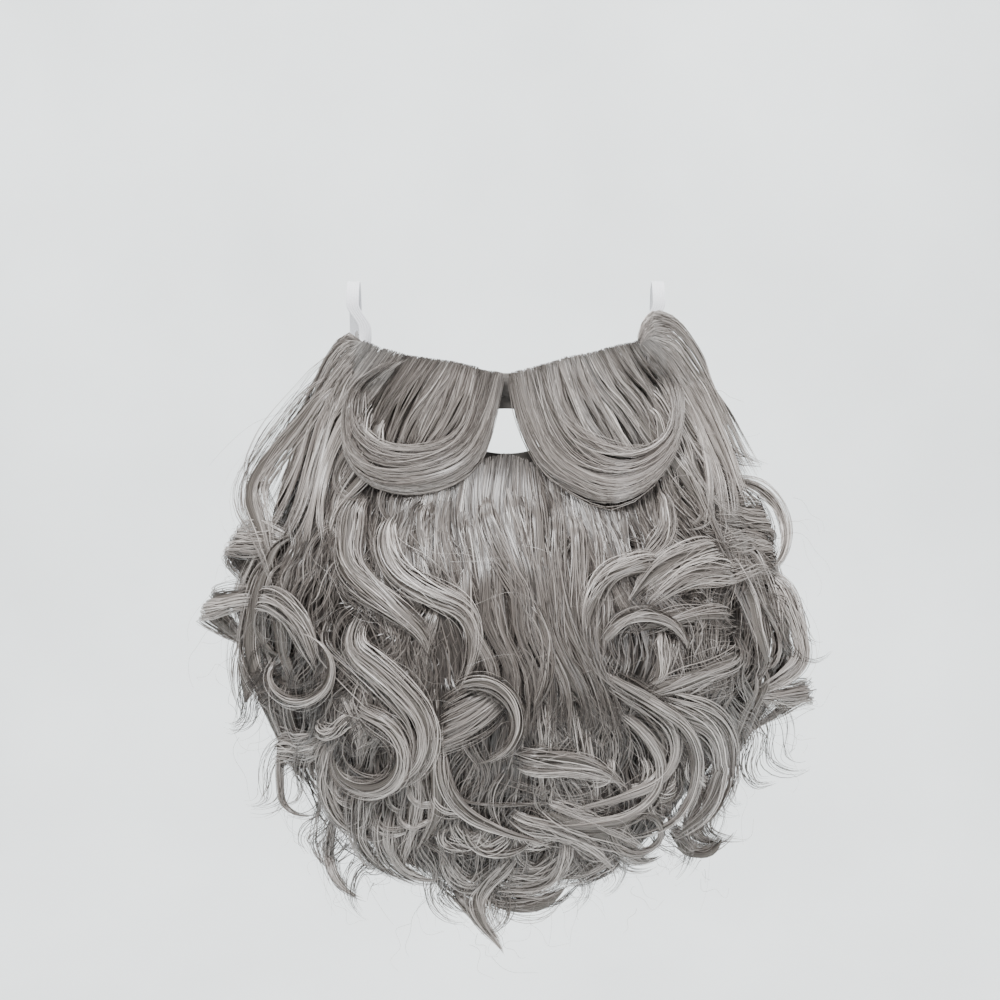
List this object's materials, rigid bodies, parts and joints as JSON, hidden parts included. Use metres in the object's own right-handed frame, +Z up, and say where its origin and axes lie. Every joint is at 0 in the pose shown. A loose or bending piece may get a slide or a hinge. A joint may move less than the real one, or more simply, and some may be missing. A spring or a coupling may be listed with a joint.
{
  "type": "fake beard",
  "caption": "Full curly fake beard with a moustache on a net base, worn over the chin and held by elastic ear loops.",
  "frame": {"origin": "the chin seat: the middle of the net's inner face, where the point of the wearer's chin rests", "axes": "+Z up the wearer's face, +X towards the viewer's right as the beard is seen from the front, -Y out of the face towards the viewer, so that +Y points from the chin back to the neck"},
  "size_m": [0.3181, 0.1888, 0.3403],
  "materials": {
    "silver_hair": "smooth synthetic fibre with a soft sheen",
    "net_fabric": "matt open net",
    "white_elastic": "matt ribbed elastic"
  },
  "bodies": {
    "root": {"net_base": "net_fabric", "beard_hair": "silver_hair", "moustache_left": "silver_hair", "moustache_right": "silver_hair", "ear_loop_left": "white_elastic", "ear_loop_right": "white_elastic"}
  },
  "joints": []
}
